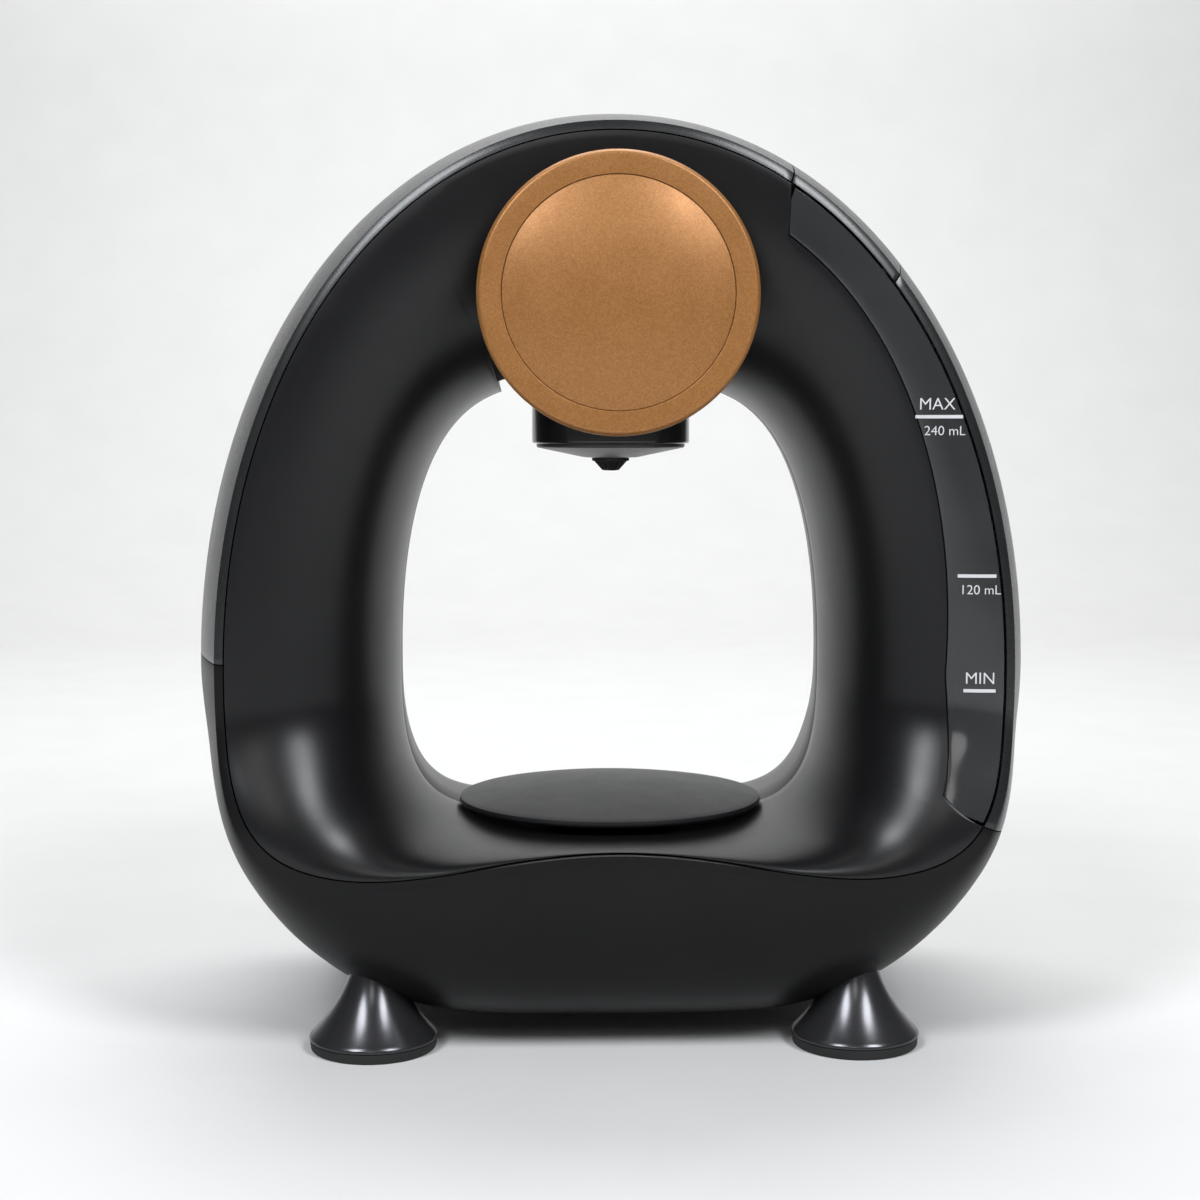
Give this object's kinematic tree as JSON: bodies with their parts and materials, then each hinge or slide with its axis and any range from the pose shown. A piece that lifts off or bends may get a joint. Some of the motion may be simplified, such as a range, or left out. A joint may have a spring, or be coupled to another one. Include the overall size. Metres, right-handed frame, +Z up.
{
  "type": "dual-brew coffee maker",
  "caption": "Egg-shaped ring coffee maker with a sliding brew drawer behind a copper disc, a side water tank with flip lid, a domed cup plate and trumpet feet.",
  "frame": {"origin": "on the table, under the middle of the body", "axes": "+Z up, front towards -Y, water tank towards +X"},
  "size_m": [0.2496, 0.1491, 0.2745],
  "materials": {
    "panel": "fine spark-eroded grain, matte",
    "band": "satin",
    "frame": "moulded",
    "tank": "smoky translucent",
    "rail": "polished",
    "cone": "matte",
    "nylon": "natural nylon",
    "copper_paint": "fine metallic flake, satin",
    "basket": "pressed mesh",
    "button": "satin",
    "rubber": "soft",
    "silicone": "translucent silicone",
    "foot": "gunmetal satin",
    "plate": "satin gloss",
    "steel": "plain",
    "pump": "moulded",
    "heater": "cast",
    "board": "solder resist",
    "shim": "mica",
    "switch": "moulded"
  },
  "bodies": {
    "body": {"front_panel": "panel", "rear_panel": "panel", "upper_band": "band", "side_band": "band", "lower_shell": "band", "inner_frame": "frame", "tank": "tank", "lid_pin": "steel", "hinge_leaf": "frame", "lid_seal": "rubber", "tank_outlet": "silicone", "tank_filter": "nylon", "brew_chassis": "frame", "drawer_rails": "rail", "rail_glides": "nylon", "spray_head": "nylon", "spray_seal": "silicone", "button_bezel": "button", "button_switch": "switch", "control_board": "board", "base_plate": "frame", "water_pump": "pump", "pump_cradle": "frame", "heater_block": "heater", "heater_shim": "shim", "thermostat": "steel", "supply_hose": "silicone", "pump_hose": "silicone", "riser_tube": "silicone", "power_inlet": "switch", "case_screws": "steel", "foot_front_left": "foot", "foot_front_right": "foot", "foot_rear_left": "foot", "foot_rear_right": "foot", "pad_front_left": "rubber", "pad_front_right": "rubber", "pad_rear_left": "rubber", "pad_rear_right": "rubber"},
    "drawer": {"brew_disc": "copper_paint", "disc_dome": "copper_paint", "disc_carrier": "rail", "pod_holder": "rail", "filter_basket": "basket", "drip_cone": "cone", "drip_nozzle": "rail"},
    "button": {"brew_button": "button"},
    "lid": {"tank_lid": "band"},
    "plate": {"cup_plate": "plate", "plate_ring": "rubber"}
  },
  "joints": [
    {"name": "drawer_slide", "type": "slide", "parent": "body", "child": "drawer", "axis": [0, -1, 0], "range_m": [0, 0.068]},
    {"name": "button_press", "type": "slide", "parent": "body", "child": "button", "axis": [0, 0, -1], "range_m": [0, 0.0015], "stiffness_N_per_m": 900},
    {"name": "lid_hinge", "type": "hinge", "parent": "body", "child": "lid", "pos_m": [0.06582, 0.0564, 0.23835], "axis": [-0.732, 0, 0.6813], "range_deg": [0, 80]},
    {"name": "plate_lift", "type": "slide", "parent": "body", "child": "plate", "axis": [0, 0, 1], "range_m": [0, 0.04]}
  ]
}
